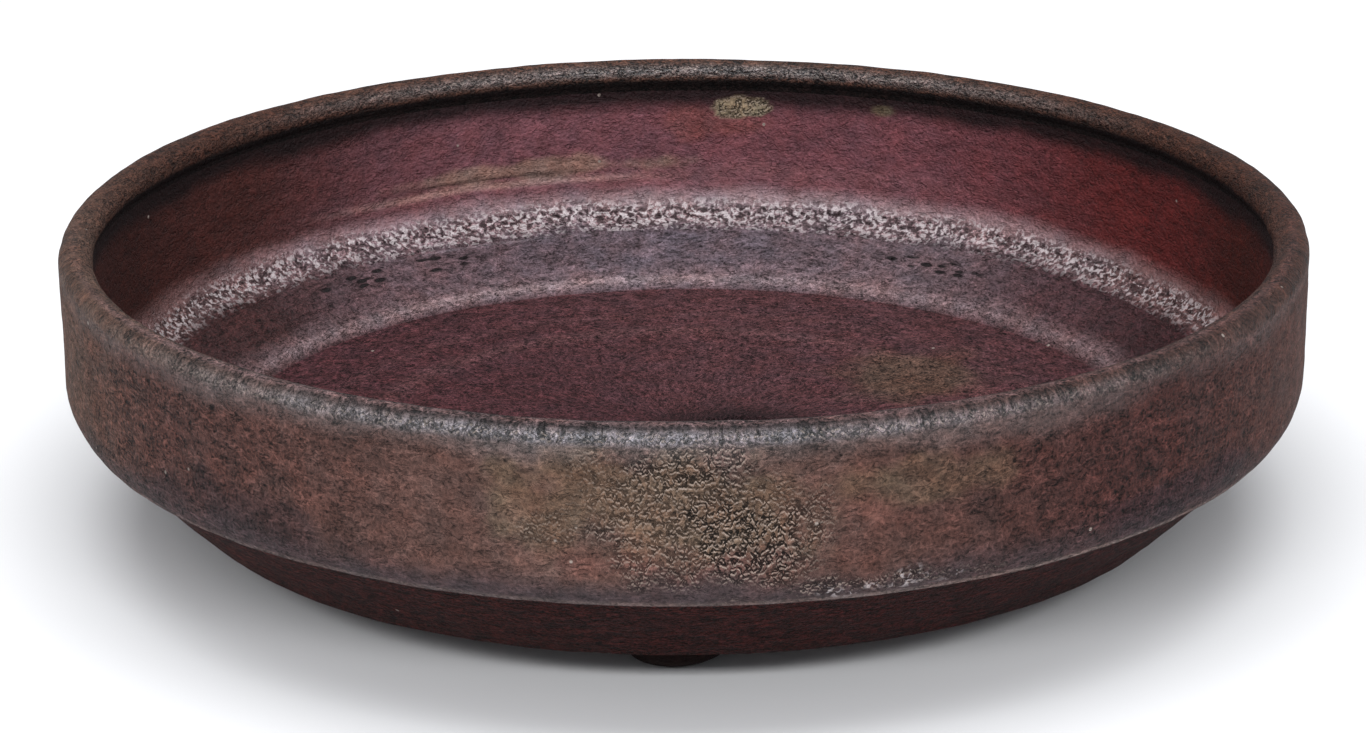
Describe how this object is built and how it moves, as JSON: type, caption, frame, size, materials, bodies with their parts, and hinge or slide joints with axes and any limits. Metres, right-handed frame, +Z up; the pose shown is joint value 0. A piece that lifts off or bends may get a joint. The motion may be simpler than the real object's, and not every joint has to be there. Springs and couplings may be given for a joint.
{
  "type": "bonsai pot",
  "caption": "Shallow round stoneware bonsai pot with an upright band, a rolled rim, a flaring lower tier, a drain hole and button feet.",
  "frame": {"origin": "on the ground under the middle of the pot", "axes": "+Z up; the front foot points towards -Y and the drain hole stands a little towards +X"},
  "size_m": [0.28, 0.28, 0.067],
  "materials": {
    "floor_clay": "matt wood-fired stoneware, maroon",
    "tier_clay": "smooth dark brown stoneware",
    "ledge_clay": "slate purple stoneware with fly ash",
    "band_clay": "grainy brown and russet stoneware with blue-grey ash",
    "rim_clay": "dark satin stoneware with an ash sheen",
    "foot_clay": "bare dark stoneware"
  },
  "bodies": {
    "root": {"floor_slab": "floor_clay", "lower_tier": "tier_clay", "seam_coil": "ledge_clay", "wall_band": "band_clay", "rim_roll": "rim_clay", "foot_front": "foot_clay", "foot_right": "foot_clay", "foot_left": "foot_clay"}
  },
  "joints": []
}
